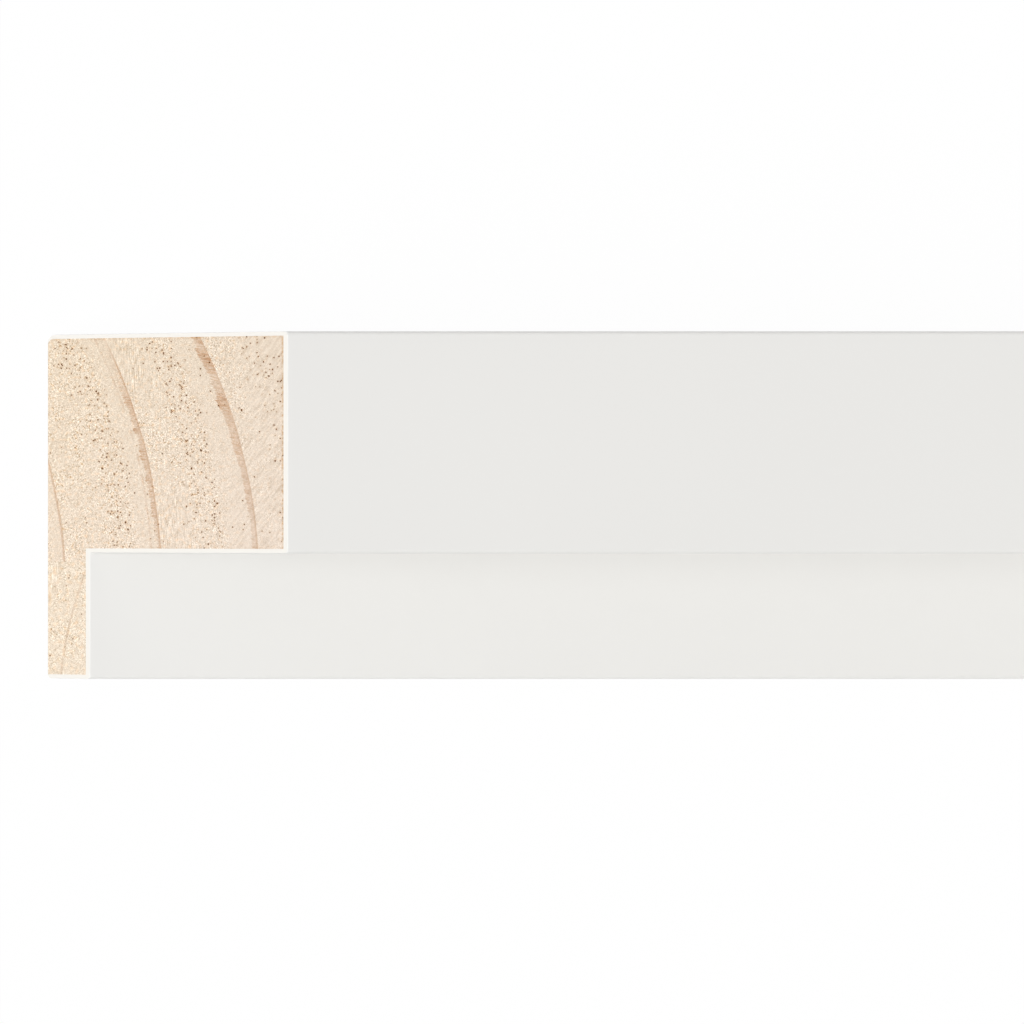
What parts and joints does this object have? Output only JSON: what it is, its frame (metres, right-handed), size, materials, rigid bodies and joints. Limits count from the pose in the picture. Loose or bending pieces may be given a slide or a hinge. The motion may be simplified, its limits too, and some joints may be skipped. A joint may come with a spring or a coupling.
{
  "type": "floater frame moulding",
  "caption": "L-section pine picture-frame moulding with a white coat: a thin lip in front of a deep ledge that carries a stretched canvas; one end mitred, the other square.",
  "frame": {"origin": "middle of the outer side, which the moulding lies on", "axes": "+X along the stock, away from the mitred end; +Y from the front edge of the lip to the rear of the frame; +Z from the outer side to the picture"},
  "size_m": [2.4, 0.045, 0.032],
  "materials": {
    "white_coated_pine": "satin white coat on planed pine",
    "bare_pine": "sawn end grain, uncoated, on the mitre and the square end"
  },
  "bodies": {
    "root": {"ledge_block": "white_coated_pine", "lip_strip": "white_coated_pine"}
  },
  "joints": []
}
